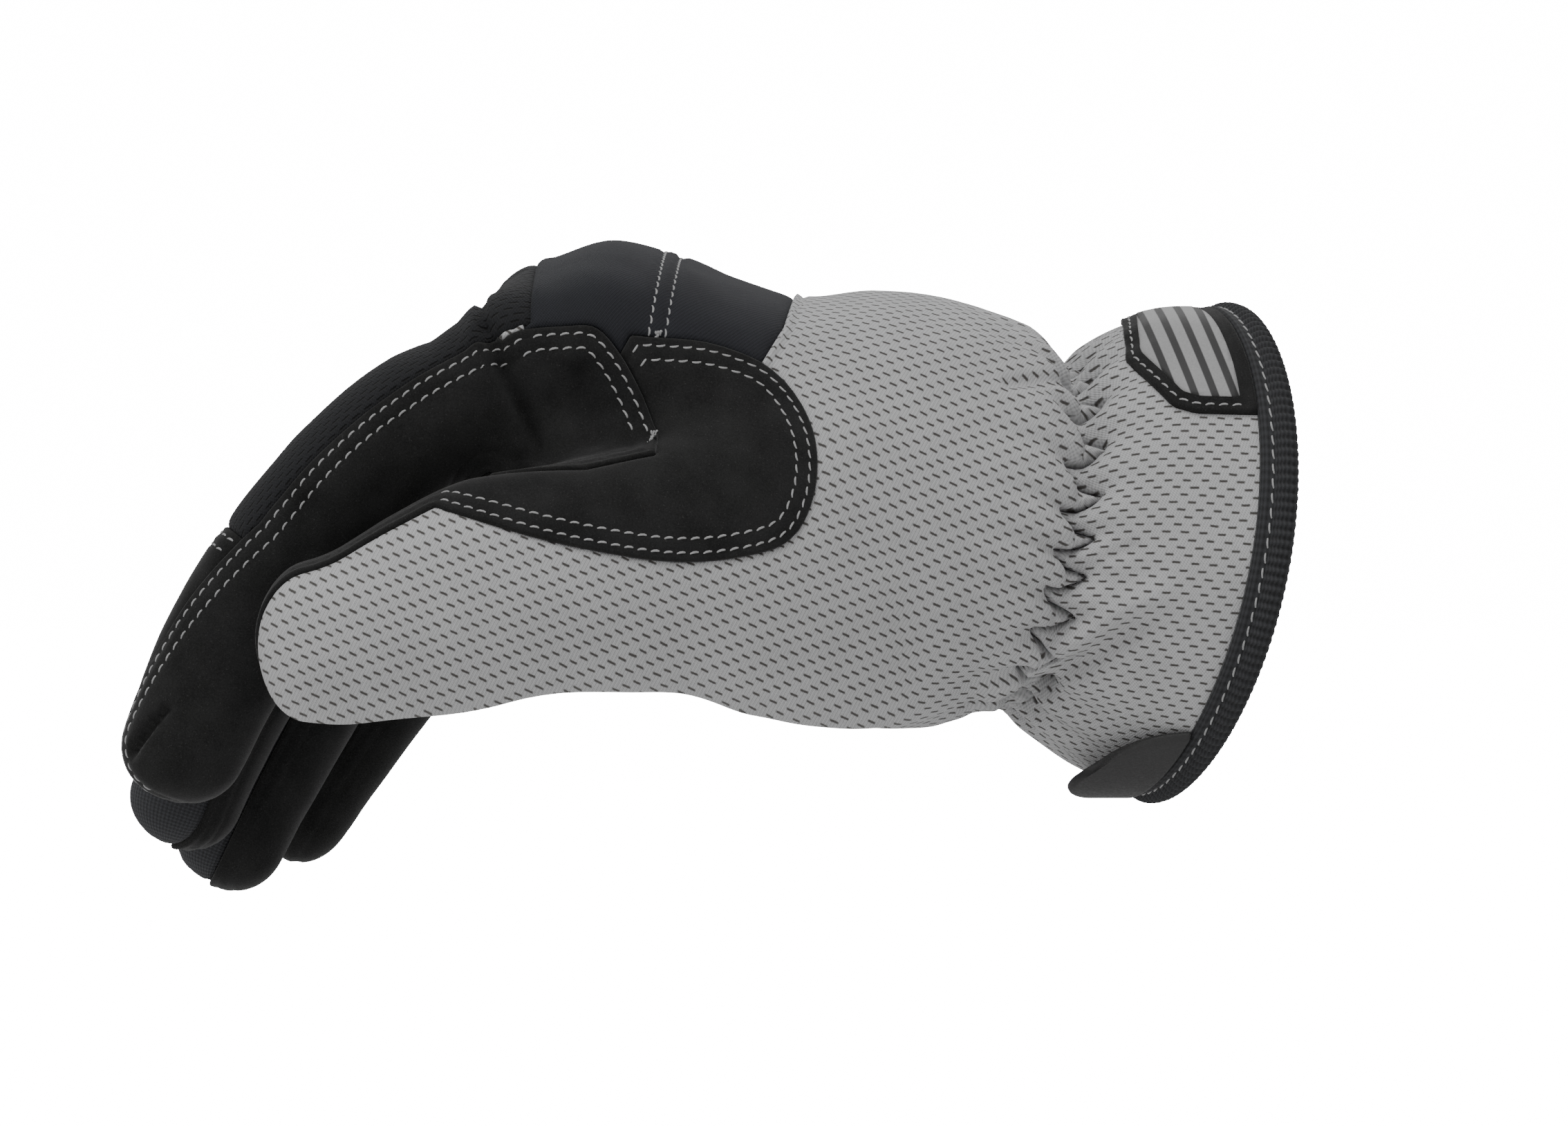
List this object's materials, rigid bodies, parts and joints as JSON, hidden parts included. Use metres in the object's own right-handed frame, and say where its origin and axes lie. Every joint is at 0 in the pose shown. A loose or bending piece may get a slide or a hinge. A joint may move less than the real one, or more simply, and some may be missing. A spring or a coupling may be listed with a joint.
{
  "type": "mechanic glove",
  "caption": "Work glove for the right hand, held in a relaxed grip: light mesh knit back and cuff, padded knuckles, dark suede palm, drawn-in wrist with a taped opening.",
  "frame": {"origin": "middle of the cuff opening, where the wrist goes in", "axes": "fingers point to -X, the back of the hand faces +Z, the thumb is on the -Y side; the glove keeps the form that a relaxed hand gives it"},
  "size_m": [0.2018, 0.1197, 0.1146],
  "materials": {
    "grey_knit": "light grey open-mesh knit, matte",
    "dark_knit": "plain fine knit, matte, near black with a blue cast",
    "dark_mesh": "near-black open-mesh knit, matte",
    "suede": "near-black synthetic suede, napped",
    "rib_knit": "dark fine-ribbed knit, matte",
    "woven_tape": "dark ribbed woven tape",
    "patch_suede": "near-black suede patch with a plain light grey print",
    "smooth_tab": "smooth dark tab, low sheen"
  },
  "bodies": {
    "root": {"grey_knit_body": "grey_knit", "knuckle_panel": "dark_knit", "finger_back_index": "dark_mesh", "finger_back_middle": "dark_mesh", "finger_back_ring": "dark_mesh", "finger_back_little": "dark_mesh", "fingertip_cap_index": "suede", "fingertip_cap_middle": "suede", "fingertip_cap_ring": "suede", "fingertip_cap_little": "suede", "palm_panel": "suede", "thumb_panel": "suede", "fourchette_index_middle": "rib_knit", "fourchette_middle_ring": "rib_knit", "fourchette_ring_little": "rib_knit", "cuff_binding": "woven_tape", "label_patch": "patch_suede", "pull_tab": "smooth_tab"}
  },
  "joints": []
}
